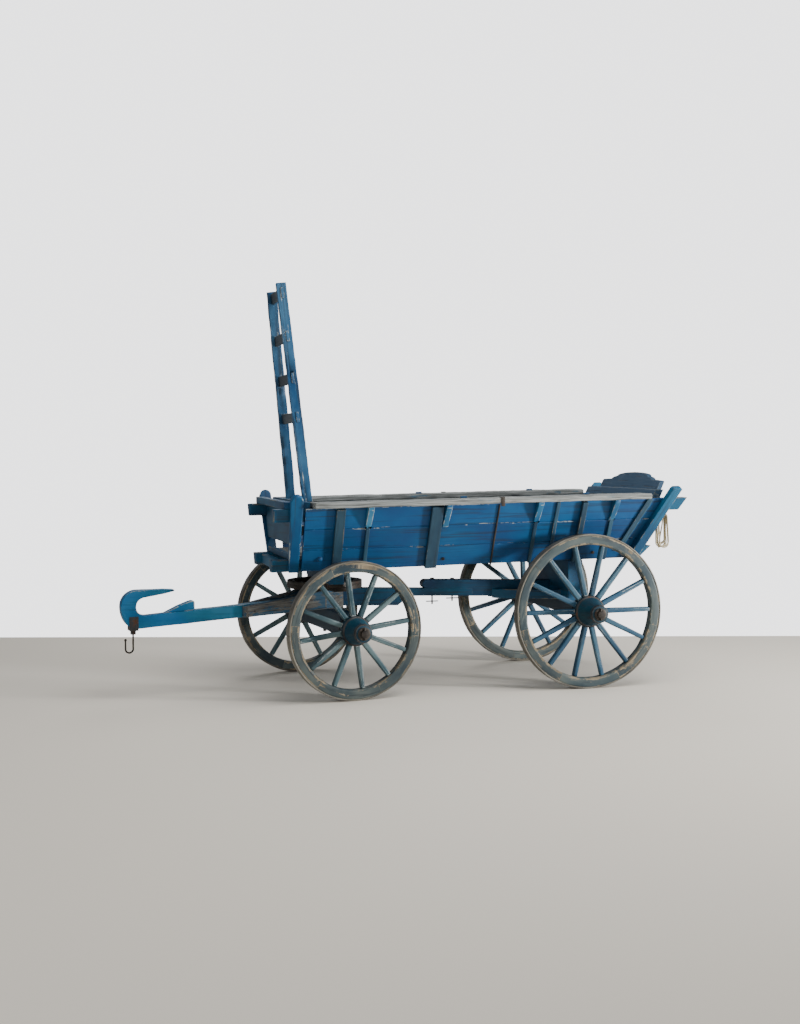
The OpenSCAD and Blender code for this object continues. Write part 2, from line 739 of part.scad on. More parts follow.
// Three-cornered brackets between the side boards and the top planks
module plank_brackets() {
  top = side_h - 0.2;
  y0 = box_half + top * tf;
  color(BLUE) body_frame() both_sides() for (x = bracket_x) difference() {
    along(x - bracket_w / 2, x + bracket_w / 2)
      polygon([[y0, top], [y0 + plank_over - 14, top], [y0 + plank_over - 18, top - 22],
        [box_half + (top - 150) * tf + 8, top - 156], [box_half + (top - 160) * tf, top - 160]]);
    body_ribs_cut();
  }
}

// The ribs' shapes, taken out of whatever is nailed over them
module body_ribs_cut() {
  panel(RIGHT) for (rib = ribs) translate([rib[0] - rib[1] / 2, -20, -rib[2]]) cube([rib[1], panel_len + 40, rib[2]]);
}

module top_planks() {
  width = box_half + side_h * tf + plank_over - plank_in;
  color(GREY_WOOD) body_frame() both_sides()
    translate([-plank_front, plank_in, side_h]) cube([plank_front + plank_rear, width, plank_t]);
}

// Posts leaning with the sides, rounded at the top
module corner_posts() {
  top = panel_len + post_top;
  color(BLUE) body_frame() for (side = [LEFT, RIGHT]) panel(side) translate([0, 0, -12]) linear_extrude(board_t + 12)
    polygon(concat([[-box_front, 0], [-box_front + post_w, 0], [-box_front + post_w, top - post_w / 2]],
      moved(arc(post_w / 2 + 8, 10, 170, 10), -box_front + post_w / 2 - 8, top - post_w / 2),
      [[-box_front - 22, top - post_w / 2]]));
}

// The head board sits between the posts, with an open slot beneath it
module front_board() {
  low = sill_h + sill_bar + slot_h;
  y_rail = rail_in - 2;
  color(BLUE) body_frame() along(-box_front + 8, -box_front + 36) polygon([
    [-inside_y(low) + 1, low], [inside_y(low) - 1, low], [inside_y(rail_z - 2) - 1, rail_z - 2], [y_rail, rail_z - 2],
    [y_rail, side_h - 2], [-y_rail, side_h - 2], [-y_rail, rail_z - 2], [-inside_y(rail_z - 2) + 1, rail_z - 2]]);
}

function ladder_face(z) = -ladder_u - (z - floor_z) * tan(ladder_lean) - stile_d / 2 / cos(ladder_lean);
rest_top = side_h + top_bar_h - 4;
rest_back = ladder_face(rest_top) - slide_gap;

// Cross pieces at the front: two at the foot, one on the beams, and the ladder's rest
module front_crossbars() {
  color(BLUE) body_frame() {
    along(-box_front - 70, -box_front - 22) square_yz(-sill_in, 8, 2 * sill_in, sill_h - 16);
    along(-box_front + 2, -box_front + 40) square_yz(-inside_y(sill_h) + 1, sill_h, 2 * inside_y(sill_h) - 2, sill_bar);
    along(-box_front - 54, -box_front - 54 + top_bar_w)
      square_yz(-inside_y(side_h) + 1, side_h, 2 * inside_y(side_h) - 2, top_bar_h);
    along(rest_back - rest_bar_w, rest_back)
      square_yz(-inside_y(side_h) + 1, side_h, 2 * inside_y(side_h) - 2, rest_top - side_h);
  }
}

module square_yz(y, z, w, h) { translate([y, z]) square([w, h]); }

// Middle of a ladder stile at height z of the body
function ladder_y(z) = ladder_half - (z - floor_z) * tan(ladder_taper);

// Flat iron loops that hold each stile against the rest
module ladder_staples() {
  z = rest_top - 6 - strap_h;
  y0 = ladder_y(rest_top) - stile_t / 2 - 5 - strap_t;
  y1 = ladder_y(rest_top) + stile_t / 2 + ladder_room + strap_t;
  depth = stile_d / cos(ladder_lean) + (rest_top - z) * tan(ladder_lean) + 2 + strap_t;
  color(IRON) body_frame() both_sides() translate([rest_back, 0, z]) linear_extrude(strap_h) difference() {
    translate([0, y0]) square([depth, y1 - y0]);
    translate([-1, y0 + strap_t]) square([depth - strap_t + 1, y1 - y0 - 2 * strap_t]);
  }
}

module rear_stiles() {
  top = panel_len + stile_extra;
  color(BLUE) body_frame() for (side = [LEFT, RIGHT]) panel(side) translate([0, 0, -stile_thick])
    linear_extrude(stile_thick) polygon([[box_rear, 0], [box_rear + stile_w, 0],
      [box_rear + stile_w + stile_slope * top, top - 8], [box_rear + stile_w + stile_slope * top - 16, top],
      [box_rear + stile_slope * top + 14, top], [box_rear + stile_slope * top, top - 14]]);
}

// ---- tailboard and its guides --------------------------------------------------

function tail_mid(z) = tail_u + z * tan(rake);
tail_half_u = tail_t / 2 / cos(rake);

module raked_slab(u0, u1, z0, z1, width) {
  across(width) polygon([[tail_mid(z0) + u0, z0], [tail_mid(z0) + u1, z0],
    [tail_mid(z1) + u1, z1], [tail_mid(z1) + u0, z1]]);
}

// Four cleats inside the body, in front of and behind the tailboard's edges
module tail_guides() {
  z0 = floor_z + 12;
  z1 = rail_z - 2;
  near = tail_half_u + guide_gap;
  color(BLUE) body_frame() both_sides() for (place = [[-near - guide_w, -near], [near, near + guide_w]])
    intersection() {
      raked_slab(place[0], place[1], z0, z1, 3 * box_half);
      along(box_rear - 400, box_rear + 600) polygon([[inside_y(z0) - guide_t, z0], [inside_y(z0), z0],
        [inside_y(z1), z1], [inside_y(z1) - guide_t, z1]]);
    }
}

// Half outline of the tailboard: straight edges below, a scalloped crest above
function tail_outline() = let (
    top = side_h + tail_rise, foot = floor_z - tail_rebate + slide_gap, w0 = inside_y(foot) - tail_end_gap,
    w1 = rail_in - tail_end_gap, zj = (w1 - inside_y(0) + tail_end_gap) / tf, shoulder = top - 62)
  concat([[0, foot], [w0, foot], [w1, zj], [w1, shoulder - 4], [w1 - 14, shoulder + 4],
    [w1 - 150, shoulder + 10]],
    [for (i = [0:6]) let (t = i / 6) [w1 - 165 - 60 * t, shoulder + 18 + 12 * sin(90 * t)]],
    [for (i = [0:8]) let (t = i / 8) [(w1 - 245) * cos(90 * t), top - 26 + 26 * sin(90 * t)]]);

module tailboard() {
  half = tail_outline();
  n = len(half);
  bar_z = side_h + slide_gap;
  color(GREY_WOOD) body_frame() {
    intersection() {
      raked_slab(-tail_half_u, tail_half_u, floor_z - tail_rebate, side_h + tail_rise + 10, 3 * box_half);
      along(box_rear - 400, box_rear + 900)
        polygon(concat(half, [for (i = [n - 2:-1:1]) [-half[i][0], half[i][1]]]));
    }
    raked_slab(-tail_half_u - tail_bar_w, -tail_half_u + 0.5, bar_z, bar_z + tail_bar_h,
      2 * (inside_y(side_h) - 4));
  }
}

// ---- ladder ----------------------------------------------------------------------

module ladder_frame() { body_frame() translate([-ladder_u, 0, floor_z]) rotate([0, -ladder_lean, 0]) children(); }

// Heights of the flat rungs above the floor boards
rung_z = [150, 955, 1228, 1518, 1820];
rung_t = 20;

module ladder_rung_bars(grow) {
  for (z = rung_z) translate([-rung_t / 2, -ladder_half - stile_t, z - rung_h / 2 - grow])
    cube([rung_t, 2 * (ladder_half + stile_t), rung_h + 2 * grow]);
}

module ladder_posts() {
  for (side = [LEFT, RIGHT]) translate([0, side * ladder_half, 0]) rotate([side * ladder_taper, 0, 0])
    translate([-stile_d / 2, -stile_t / 2, -20]) cube([stile_d, stile_t, ladder_len + 20 - (side > 0 ? 12 : 0)]);
}

module ladder_stiles() {
  color(BLUE) intersection() {
    ladder_frame() difference() {
      ladder_posts();
      ladder_rung_bars(0);
    }
    body_frame() translate([-2000, -1000, floor_z + slide_gap]) cube([4000, 2000, 2 * ladder_len]);
  }
}

module ladder_rungs() {
  edge = stile_t / 2 + 6;
  color(DARK_BLUE) ladder_frame() intersection() {
    ladder_rung_bars(0);
    across_yz(rung_t + 2) polygon([[-ladder_half - edge, 0], [ladder_half + edge, 0],
      [ladder_half + edge - 2000 * tan(ladder_taper), 2000], [-ladder_half - edge + 2000 * tan(ladder_taper), 2000]]);
  }
}

module across_yz(depth) { along(-depth / 2, depth / 2) children(); }

// ---- small ironwork and rope -------------------------------------------------------

tie_x = [1120];
knob_x = -128;
lug_w = 46;
lug_h = 13;

// Tie rods hooked over the planks, bolt heads on the sides, staples and the rope's hook
module box_ironwork() {
  y_edge = box_half + side_h * tf + plank_over;
  rod = 12;
  color(IRON) body_frame() {
    for (side = [LEFT, RIGHT]) panel(side) {
      for (x = tie_x) translate([x, -14, -rod / 2 - 0.2]) rotate([-90, 0, 0]) cylinder(d = rod, h = panel_len + 8);
      translate([knob_x, 96, -14]) cylinder(d1 = 26, d2 = 44, h = 14);
      for (x = [760, 1900]) translate([x, 60, -7]) cylinder(d = 24, h = 7);
    }
    both_sides() {
      for (x = tie_x) translate([x - 14, y_edge - 40, side_h + plank_t]) cube([28, 44, 5]);
      for (x = tie_x) translate([x - 14, y_edge, side_h - 20]) cube([28, 4, plank_t + 20]);
      for (x = [880, 1800]) translate([x - lug_w / 2, plank_in + 50, side_h + plank_t]) cube([lug_w, 16, lug_h]);
      translate([rope_x, rope_y, rail_z - 34]) cylinder(d = 9, h = 34);
    }
    translate([rope_x, -rope_y, rail_z - 34]) rotate([90, 0, 0]) cylinder(d = 9, h = 76, center = true);
  }
}

// Space that the coiled rope fills where it hangs on its hook
module rope_hank() {
  top = rail_z - 34 - 4.5 - slide_gap;
  color(ROPE) body_frame() translate([rope_x, -rope_y, top]) across(58) hull() {
    translate([0, -24]) circle(r = 24, $fn = 32);
    translate([-12, -rope_drop + rope_half]) circle(r = rope_half, $fn = 32);
  }
}

left_front_nave();
left_front_bands();
left_front_spokes();
left_front_felloes();
left_front_tyre();
right_front_nave();
right_front_bands();
right_front_spokes();
right_front_felloes();
right_front_tyre();
left_rear_nave();
left_rear_bands();
left_rear_spokes();
left_rear_felloes();
left_rear_tyre();
right_rear_nave();
right_rear_bands();
right_rear_spokes();
right_rear_felloes();
right_rear_tyre();
front_axle_bed();
front_axle_iron();
front_linchpins();
futchells();
turntable_lower();
pole();
pole_cleat();
pole_ironwork();
draft_hook();
rear_axle_bed();
rear_axle_iron();
rear_linchpins();
front_bolster();
rear_bolster();
turntable_upper();
kingpin();
reach_front();
reach_rear();
reach_bolts();
hounds();
lower_beams();
upper_beams();
floor_boards();
left_side_boards();
right_side_boards();
side_ribs();
plank_brackets();
top_planks();
corner_posts();
front_board();
front_crossbars();
ladder_staples();
rear_stiles();
tail_guides();
box_ironwork();
rope_hank();
tailboard();
ladder_stiles();
ladder_rungs();
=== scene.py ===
"""A blue four-wheeled farm wagon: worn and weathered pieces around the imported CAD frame."""

import json
import math
import random

import bmesh
import bpy
from mathutils import Matrix, Vector, noise

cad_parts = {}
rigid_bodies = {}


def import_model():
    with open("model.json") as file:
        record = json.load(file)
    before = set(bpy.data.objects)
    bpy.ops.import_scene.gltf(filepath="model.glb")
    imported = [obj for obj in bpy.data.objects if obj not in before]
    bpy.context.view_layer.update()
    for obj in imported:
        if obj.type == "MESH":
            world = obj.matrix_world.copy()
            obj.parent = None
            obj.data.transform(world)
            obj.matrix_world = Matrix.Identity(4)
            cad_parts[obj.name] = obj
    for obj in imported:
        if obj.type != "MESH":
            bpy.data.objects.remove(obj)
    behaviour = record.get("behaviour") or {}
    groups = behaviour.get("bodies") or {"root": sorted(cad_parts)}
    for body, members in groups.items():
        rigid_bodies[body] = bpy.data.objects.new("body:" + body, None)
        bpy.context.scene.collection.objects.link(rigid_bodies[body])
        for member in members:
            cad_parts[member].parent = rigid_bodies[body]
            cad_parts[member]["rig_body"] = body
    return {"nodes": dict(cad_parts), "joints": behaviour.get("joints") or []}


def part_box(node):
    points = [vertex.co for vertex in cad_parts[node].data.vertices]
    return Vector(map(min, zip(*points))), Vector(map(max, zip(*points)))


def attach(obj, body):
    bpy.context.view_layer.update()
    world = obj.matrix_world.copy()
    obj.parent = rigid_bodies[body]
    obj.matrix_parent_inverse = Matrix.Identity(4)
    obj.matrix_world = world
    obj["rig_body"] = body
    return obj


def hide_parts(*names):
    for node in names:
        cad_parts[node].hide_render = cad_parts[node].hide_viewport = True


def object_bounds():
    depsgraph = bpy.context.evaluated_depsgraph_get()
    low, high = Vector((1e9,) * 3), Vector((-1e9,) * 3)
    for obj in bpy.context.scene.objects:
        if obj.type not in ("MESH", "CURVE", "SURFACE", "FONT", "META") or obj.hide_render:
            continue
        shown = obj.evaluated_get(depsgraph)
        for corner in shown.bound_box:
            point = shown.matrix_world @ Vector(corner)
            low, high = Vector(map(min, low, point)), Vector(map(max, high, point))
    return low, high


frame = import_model()
cad_low, cad_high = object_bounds()
cad_nodes = frame["nodes"]
joints = {j["name"]: j for j in frame["joints"]}
body_of_node = {n: o["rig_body"] for n, o in cad_nodes.items()}
rng = random.Random(7)

# ---- camera ------------------------------------------------------------------

CAMERA_AT = Vector((-2.4514, -8.9713, 1.6511))
CAMERA_YAW = math.radians(15.304)
CAMERA_PITCH = math.radians(2.504)
CAMERA_ROLL = math.radians(-0.1)
CAMERA_LENS = 44.688

camera = bpy.data.objects.new("camera", bpy.data.cameras.new("camera"))
bpy.context.scene.collection.objects.link(camera)
bpy.context.scene.camera = camera
camera.data.lens = CAMERA_LENS
camera.data.sensor_width = 36.0
camera.location = CAMERA_AT
look = Matrix.Rotation(-CAMERA_YAW, 4, "Z") @ Matrix.Rotation(math.pi / 2 - CAMERA_PITCH, 4, "X")
camera.rotation_mode = "QUATERNION"
camera.rotation_quaternion = (look @ Matrix.Rotation(CAMERA_ROLL, 4, "Z")).to_quaternion()

# ---- rope: long turns hung over its peg, and a knotted tail -----------------

ROPE_D = 0.01
ROPE_PITCH = 0.0104
ROPE_TURNS = 6
PEG_R = 0.0045
TOP_BEND = 0.0305
LOW_BENDS = (0.042, 0.032, 0.034, 0.032, 0.036, 0.032)
TURN_SWING = (0.001, 0.014, -0.012, -0.006, 0.01, 0.002)
TURN_RISE = (0.02, 0.0, 0.008, 0.035, 0.012, 0.022)
TURN_STEPS = 40
TAIL_DROP = 0.2
TAIL_SHIFT = 0.026
TAIL_STEPS = 12
QUARTER_STEPS = 8
ROPE_STEP = 0.004
KNOT_ROPE_D = 0.011
KNOT_SIZE = 0.0048
KNOT_DROP = 0.008
KNOT_STEP = 0.003

hank_low, hank_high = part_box("rope_hank")
hank_top = [v.co.x for v in cad_nodes["rope_hank"].data.vertices if v.co.z > hank_high.z - 0.003]
peg = Vector((sum(hank_top) / len(hank_top), 0, hank_high.z + PEG_R))
rope_top = peg.z + PEG_R + ROPE_D / 2
top_centre = Vector((peg.x, 0, rope_top - TOP_BEND))
low_centre = Vector((peg.x, 0, hank_low.z + ROPE_D / 2 + LOW_BENDS[0]))


def turn_point(t, turn):
    """A point of one turn, from the top of the peg (t = 0) round its own low bend and back (t = 1)."""
    angle = 2 * math.pi * t
    bend, centre = TOP_BEND, top_centre
    if math.cos(angle) < 0:
        bend, centre = LOW_BENDS[turn], low_centre + Vector((TURN_SWING[turn], 0, TURN_RISE[turn]))
    return centre + Vector((bend * math.sin(angle), 0, bend * math.cos(angle)))


def rope_route():
    """Turns side by side along the peg: the route starts on the peg and ends in the tail."""
    first_y = hank_low.y + ROPE_D / 2
    points = []
    for i in range(ROPE_TURNS * TURN_STEPS + 1):
        t = i / TURN_STEPS
        turn = min(int(t), ROPE_TURNS - 1)
        points.append(turn_point(t - turn, turn) + Vector((0, first_y + ROPE_PITCH * t, 0)))
    end = points[-1]
    for k in range(1, QUARTER_STEPS + 1):
        t = k / QUARTER_STEPS
        bend = math.pi / 2 * t
        round_peg = Vector((math.sin(bend), 0, math.cos(bend) - 1)) * TOP_BEND
        points.append(end + round_peg + Vector((0, ROPE_PITCH * t, 0)))
    end = points[-1]
    for k in range(1, TAIL_STEPS + 1):
        t = k / TAIL_STEPS
        points.append(end + Vector((-TAIL_SHIFT * t * t * (3 - 2 * t), 0, -TAIL_DROP * t)))
    return points


def perpendicular_frames(points):
    """A sideways and an upward direction at each point, carried along the line without twisting."""
    frames, side = [], None
    for i, p in enumerate(points):
        ahead = (points[min(i + 1, len(points) - 1)] - points[max(i - 1, 0)]).normalized()
        if side is None:
            side = ahead.orthogonal().normalized()
        side = (side - ahead * side.dot(ahead)).normalized()
        frames.append((side, ahead.cross(side)))
    return frames


def resample(points, step):
    """The same line with its points a fixed step apart."""
    out, left = [points[0].copy()], step
    for a, b in zip(points, points[1:]):
        span = (b - a).length
        at = left
        while at <= span:
            out.append(a.lerp(b, at / span))
            at += step
        left = at - span
    return out


SMOOTH_ANGLE = math.radians(40)


def new_piece(name, mesh, body, material):
    """An object of the wagon that rides on a body and has the given material."""
    piece = bpy.data.objects.new(name, mesh)
    bpy.context.scene.collection.objects.link(piece)
    mesh.materials.append(material)
    mesh.shade_smooth()
    mesh.set_sharp_from_angle(angle=SMOOTH_ANGLE)
    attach(piece, body)
    return piece


def laid_rope(points, diameter, strands=3, lay=0.032, round_steps=18):
    """A tube whose lobes turn along it, with its own length as the grain coordinate."""
    mesh = bpy.data.meshes.new("rope")
    bm = bmesh.new()
    grain = bm.verts.layers.float_vector.new("grain")
    rings, along = [], 0.0
    for i, (p, (side, up)) in enumerate(zip(points, perpendicular_frames(points))):
        along += (p - points[i - 1]).length if i else 0
        turn = 2 * math.pi * along / lay
        ring = []
        for k in range(round_steps):
            a = 2 * math.pi * k / round_steps
            lobe = abs(math.cos(strands * (a - turn) / 2))
            r = diameter / 2 * (0.8 + 0.2 * lobe)
            v = bm.verts.new(p + (side * math.cos(a) + up * math.sin(a)) * r)
            # the third grain value, the lobe, also places the painted shade in the grooves between strands
            v[grain] = (along, a / (2 * math.pi), lobe)
            ring.append(v)
        rings.append(ring)
    for a, b in zip(rings, rings[1:]):
        for k in range(round_steps):
            bm.faces.new((a[k], a[(k + 1) % round_steps], b[(k + 1) % round_steps], b[k]))
    bm.faces.new(rings[0][::-1])
    bm.faces.new(rings[-1])
    bm.to_mesh(mesh)
    bm.free()
    return mesh


def knot_route(at, size):
    """An overhand knot's closed line, about a point."""
    line = []
    for i in range(97):
        t = 2 * math.pi * i / 96
        r = 2 + math.cos(3 * t)
        loop = Vector((r * math.cos(2 * t) * 0.72, math.sin(3 * t) * 0.9, r * math.sin(2 * t)))
        line.append(at + size * loop)
    return line


# ---- materials -----------------------------------------------------------------


SPECULAR = 0.3
SOOT = (0.012, 0.02, 0.028, 1)
STAIN = (0.09, 0.075, 0.06, 1)
CRACK = (0.02, 0.018, 0.016, 1)


def darker(tone, share):
    """A colour with its light cut to a share."""
    return tuple(c * share for c in tone[:3]) + (1.0,)


def colour(r, g, b):
    """A colour given as 0 to 255 in sRGB, in linear light."""
    linear = [c / 255 / 12.92 if c < 11 else ((c / 255 + 0.055) / 1.055) ** 2.4 for c in (r, g, b)]
    return tuple(linear) + (1.0,)


class Shader:
    """A small helper that adds shader nodes and gives back their outputs."""

    def __init__(self, name):
        self.material = bpy.data.materials.new(name)
        self.material.use_nodes = True
        self.tree = self.material.node_tree
        self.bsdf = self.tree.nodes["Principled BSDF"]

    def put(self, socket, value):
        if isinstance(value, bpy.types.NodeSocket):
            self.tree.links.new(value, socket)
        else:
            socket.default_value = value

    def node(self, kind, inputs, **settings):
        made = self.tree.nodes.new("ShaderNode" + kind)
        for key, value in settings.items():
            setattr(made, key, value)
        for key, value in inputs.items():
            self.put(made.inputs[key], value)
        return made

    def attribute(self, name, output="Fac"):
        return self.node("Attribute", {}, attribute_name=name).outputs[output]

    def stretched(self, vector, along, across):
        """The grain coordinate with its own scale along and across the fibres."""
        scaled = self.node("VectorMath", {0: vector, 1: (along, across, across)}, operation="MULTIPLY")
        return scaled.outputs[0]

    def noise(self, vector, detail=4.0, roughness=0.55, distortion=0.0):
        inputs = {"Vector": vector, "Scale": 1.0, "Detail": detail, "Roughness": roughness,
                  "Distortion": distortion}
        return self.node("TexNoise", inputs).outputs["Fac"]

    def step(self, value, low, high):
        """0 below low and 1 above high, smooth between."""
        inputs = {"Value": value, "From Min": low, "From Max": high}
        return self.node("MapRange", inputs, interpolation_type="SMOOTHSTEP").outputs[0]

    def math(self, operation, a, b):
        return self.node("Math", {0: a, 1: b}, operation=operation).outputs[0]

    def mix(self, factor, a, b, blend="MIX"):
        made = self.tree.nodes.new("ShaderNodeMix")
        made.data_type = "RGBA"
        made.blend_type = blend
        for socket, value in zip((made.inputs[0], made.inputs[6], made.inputs[7]), (factor, a, b)):
            self.put(socket, value)
        return made.outputs[2]

    def bump(self, height, distance, strength):
        return self.node("Bump", {"Height": height, "Distance": distance, "Strength": strength}).outputs[0]

    def shaded(self, base, tint):
        """The colour made a little darker or lighter for each separate solid."""
        shade = self.math("ADD", 0.8, self.math("MULTIPLY", tint, 0.4))
        grey = self.node("CombineColor", {0: shade, 1: shade, 2: shade}).outputs[0]
        return self.mix(1.0, base, grey, "MULTIPLY")

    def finish(self, base, roughness, normal, metallic=0.0):
        self.put(self.bsdf.inputs["Base Color"], base)
        self.put(self.bsdf.inputs["Roughness"], roughness)
        self.put(self.bsdf.inputs["Metallic"], metallic)
        self.put(self.bsdf.inputs["Normal"], normal)
        self.bsdf.inputs["Specular IOR Level"].default_value = SPECULAR
        return self.material


def painted_wood(name, paint, faded, wood, bare, edge, dirt):
    """Old paint on wood: it fades in patches and has gone from edges and along the grain, where
    grey wood shows. bare is the share of the paint that has gone, and edge how much more has gone
    from the edges."""
    s = Shader(name)
    grain = s.attribute("grain", "Vector")
    wear = s.attribute("wear")
    tint = s.attribute("tint")
    fibres = s.noise(s.stretched(grain, 5, 210), detail=5, roughness=0.6)
    streaks = s.noise(s.stretched(grain, 1.6, 42), detail=4, roughness=0.6)
    patches = s.noise(s.stretched(grain, 7, 11), detail=6, roughness=0.62)
    flakes = s.noise(s.stretched(grain, 45, 90), detail=5, roughness=0.7)
    clouds = s.noise(s.stretched(grain, 2.2, 4), detail=3)
    loss = s.math("ADD", s.math("MULTIPLY", patches, 0.6), s.math("MULTIPLY", streaks, 0.4))
    loss = s.math("ADD", loss, s.math("MULTIPLY", s.math("SUBTRACT", flakes, 0.5), 0.34))
    rubbed = s.step(s.noise(s.stretched(grain, 4, 6), detail=4, roughness=0.7), 0.38, 0.62)
    rubbed = s.math("ADD", 0.25, s.math("MULTIPLY", rubbed, 0.75))
    loss = s.math("ADD", loss, s.math("MULTIPLY", s.math("MULTIPLY", wear, rubbed), edge * 0.5))
    gone = s.step(loss, 0.78 - 0.34 * bare, 0.84 - 0.34 * bare)
    thin = s.step(loss, 0.6 - 0.3 * bare, 0.86 - 0.3 * bare)
    paint_colour = s.mix(s.step(clouds, 0.3, 0.72), paint, faded)
    paint_colour = s.mix(s.math("MULTIPLY", thin, 0.55), paint_colour, faded)
    dirty = s.math("MULTIPLY", s.step(streaks, 0.5, 0.68), dirt)
    paint_colour = s.mix(dirty, paint_colour, SOOT)
    wood_colour = s.mix(s.step(fibres, 0.34, 0.66), darker(wood, 0.36), wood)
    base = s.shaded(s.mix(gone, paint_colour, wood_colour), tint)
    rough = s.math("ADD", 0.5, s.math("MULTIPLY", gone, 0.36))
    height = s.math("MULTIPLY", fibres, s.math("ADD", 0.25, gone))
    height = s.math("SUBTRACT", height, s.math("MULTIPLY", gone, 0.5))
    return s.finish(base, rough, s.bump(height, 0.0012, 0.8))


def bare_wood(name, light, dark, paint, left=0.2):
    """Grey weathered wood with checks along its grain, and a little paint left in patches."""
    s = Shader(name)
    grain = s.attribute("grain", "Vector")
    wear = s.attribute("wear")
    tint = s.attribute("tint")
    fibres = s.noise(s.stretched(grain, 4, 230), detail=6, roughness=0.65)
    bands = s.noise(s.stretched(grain, 1.3, 38), detail=4)
    checks = s.noise(s.stretched(grain, 2.4, 120), detail=2, distortion=0.4)
    patches = s.noise(s.stretched(grain, 5, 9), detail=6, roughness=0.65)
    crack = s.step(checks, 0.36, 0.31)
    wood = s.mix(s.step(fibres, 0.3, 0.7), dark, light)
    wood = s.mix(s.math("MULTIPLY", s.step(bands, 0.42, 0.7), 0.5), wood, dark)
    stain = s.step(s.noise(s.stretched(grain, 3, 7), detail=5), 0.55, 0.78)
    wood = s.mix(s.math("MULTIPLY", stain, 0.45), wood, STAIN)
    kept = s.math("ADD", patches, s.math("MULTIPLY", bands, 0.25))
    kept = s.math("SUBTRACT", kept, s.math("MULTIPLY", wear, 0.2))
    kept = s.step(kept, 0.86 - 0.45 * left, 0.94 - 0.45 * left)
    base = s.mix(s.math("MULTIPLY", kept, 0.8), wood, paint)
    base = s.mix(s.math("MULTIPLY", crack, 0.8), base, CRACK)
    base = s.shaded(base, tint)
    height = s.math("SUBTRACT", s.math("MULTIPLY", fibres, 0.6), s.math("MULTIPLY", crack, 1.4))
    rough = s.math("SUBTRACT", 0.9, s.math("MULTIPLY", kept, 0.25))
    return s.finish(base, rough, s.bump(height, 0.0016, 0.9))


def old_iron(name, dark, rust, light, rusty=0.5, bright=0.3):
    """Wrought iron: dark scale, rust in blotches and a paler polish where it is rubbed."""
    s = Shader(name)
    grain = s.attribute("grain", "Vector")
    wear = s.attribute("wear")
    blotch = s.noise(s.stretched(grain, 18, 22), detail=7, roughness=0.68)
    pits = s.noise(s.stretched(grain, 240, 240), detail=4, roughness=0.6)
    clouds = s.noise(s.stretched(grain, 5, 7), detail=4)
    rust_mask = s.math("ADD", blotch, s.math("MULTIPLY", pits, 0.2))
    rust_mask = s.step(rust_mask, 0.86 - 0.4 * rusty, 1.0 - 0.4 * rusty)
    rust_colour = s.mix(s.step(pits, 0.35, 0.65), darker(rust, 0.5), rust)
    base = s.mix(rust_mask, s.mix(s.step(clouds, 0.3, 0.7), dark, light), rust_colour)
    rub = s.math("ADD", clouds, s.math("MULTIPLY", wear, 0.3))
    rub = s.step(rub, 0.95 - 0.4 * bright, 1.1 - 0.4 * bright)
    base = s.mix(s.math("MULTIPLY", rub, 0.6), base, light)
    height = s.math("ADD", s.math("MULTIPLY", pits, 0.4), s.math("MULTIPLY", blotch, 0.6))
    rough = s.math("ADD", 0.5, s.math("MULTIPLY", rust_mask, 0.38))
    metal = s.math("MULTIPLY", s.math("SUBTRACT", 1.0, rust_mask), 0.45)
    return s.finish(base, rough, s.bump(height, 0.0012, 0.9), metal)


def rope_fibre(name, light, dark):
    """Dry fibre with painted shade darkening the grooves between the strands."""
    s = Shader(name)
    grain = s.attribute("grain", "Vector")
    groove_shade = s.node("SeparateXYZ", {0: grain}).outputs[2]
    hairs = s.noise(s.stretched(grain, 500, 60), detail=4)
    clouds = s.noise(s.stretched(grain, 9, 1), detail=3)
    # painted shade: darker in the grooves between the strands
    base = s.mix(s.step(groove_shade, 0.0, 0.45), dark, light)
    base = s.mix(s.math("MULTIPLY", s.step(hairs, 0.4, 0.7), 0.35), base, dark)
    base = s.mix(s.math("MULTIPLY", s.step(clouds, 0.45, 0.7), 0.3), base, dark)
    return s.finish(base, 0.92, s.bump(hairs, 0.0006, 0.8))


GREY = colour(126, 124, 116)
PALE = colour(176, 184, 184)
RIM_TAN = colour(150, 136, 112)

BODY_BLUE = painted_wood("body_blue", colour(0, 62, 112), colour(6, 82, 130), PALE,
                         bare=0.06, edge=0.8, dirt=0.6)
BEAM_BLUE = painted_wood("beam_blue", colour(0, 46, 80), colour(20, 82, 112), GREY,
                         bare=0.14, edge=0.6, dirt=0.6)
RIB_BLUE = painted_wood("rib_blue", colour(20, 46, 68), colour(42, 76, 94), GREY,
                        bare=0.26, edge=0.6, dirt=0.6)
BRACKET_BLUE = painted_wood("bracket_blue", colour(10, 74, 118), colour(60, 120, 152), PALE,
                            bare=0.2, edge=0.7, dirt=0.3)
BRIGHT_BLUE = painted_wood("bright_blue", colour(0, 54, 96), colour(24, 88, 124), PALE,
                           bare=0.14, edge=0.6, dirt=0.5)
POLE_BLUE = painted_wood("pole_blue", colour(0, 92, 142), colour(40, 114, 146), PALE,
                         bare=0.2, edge=0.7, dirt=0.35)
LADDER_BLUE = painted_wood("ladder_blue", colour(0, 52, 90), colour(50, 92, 122), PALE,
                           bare=0.28, edge=0.6, dirt=0.6)
RUNG_DARK = painted_wood("rung_dark", colour(34, 48, 58), colour(72, 78, 82), GREY,
                         bare=0.4, edge=0.3, dirt=0.5)
SPOKE_BLUE = painted_wood("spoke_blue", colour(0, 54, 82), colour(56, 92, 110), PALE,
                          bare=0.24, edge=0.75, dirt=0.5)
SPOKE_GREY = painted_wood("spoke_grey", colour(26, 56, 66), colour(92, 112, 114), PALE,
                          bare=0.36, edge=0.7, dirt=0.5)
FELLOE_GREY = painted_wood("felloe_grey", colour(24, 44, 54), colour(82, 90, 86), RIM_TAN,
                           bare=0.56, edge=0.3, dirt=0.8)
NAVE_BLUE = painted_wood("nave_blue", colour(0, 42, 60), colour(26, 64, 76), GREY,
                         bare=0.14, edge=0.3, dirt=0.7)
DARK_BLUE = painted_wood("dark_blue", colour(0, 30, 50), colour(20, 50, 66), GREY,
                         bare=0.18, edge=0.4, dirt=0.6)
